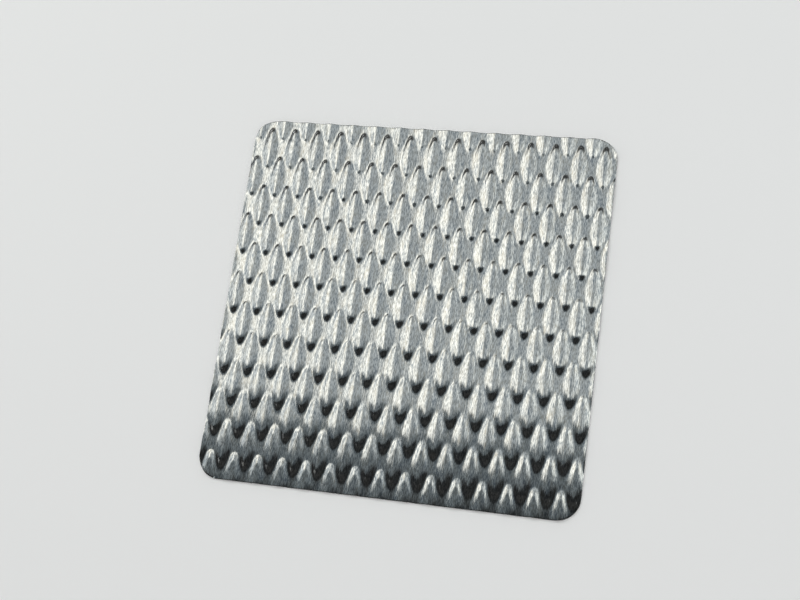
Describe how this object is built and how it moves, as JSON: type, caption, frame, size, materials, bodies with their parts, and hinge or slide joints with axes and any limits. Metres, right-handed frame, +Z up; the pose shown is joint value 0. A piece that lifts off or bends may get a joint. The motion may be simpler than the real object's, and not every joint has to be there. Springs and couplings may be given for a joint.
{
  "type": "embossed stainless steel sheet",
  "caption": "Flat square sheet of stainless steel with rounded corners, embossed all over with staggered rows of raised pointed leaves and hollowed to match on its back.",
  "frame": {"origin": "centre of the sheet's outline on the plane that its flat back rests on", "axes": "+Z up out of the embossed face, +Y along the leaves' long axis, +X across the leaves"},
  "size_m": [0.1, 0.1, 0.0014],
  "materials": {
    "stainless_steel": "lengthwise brushed, embossed"
  },
  "bodies": {
    "root": {"embossed_sheet": "stainless_steel"}
  },
  "joints": []
}
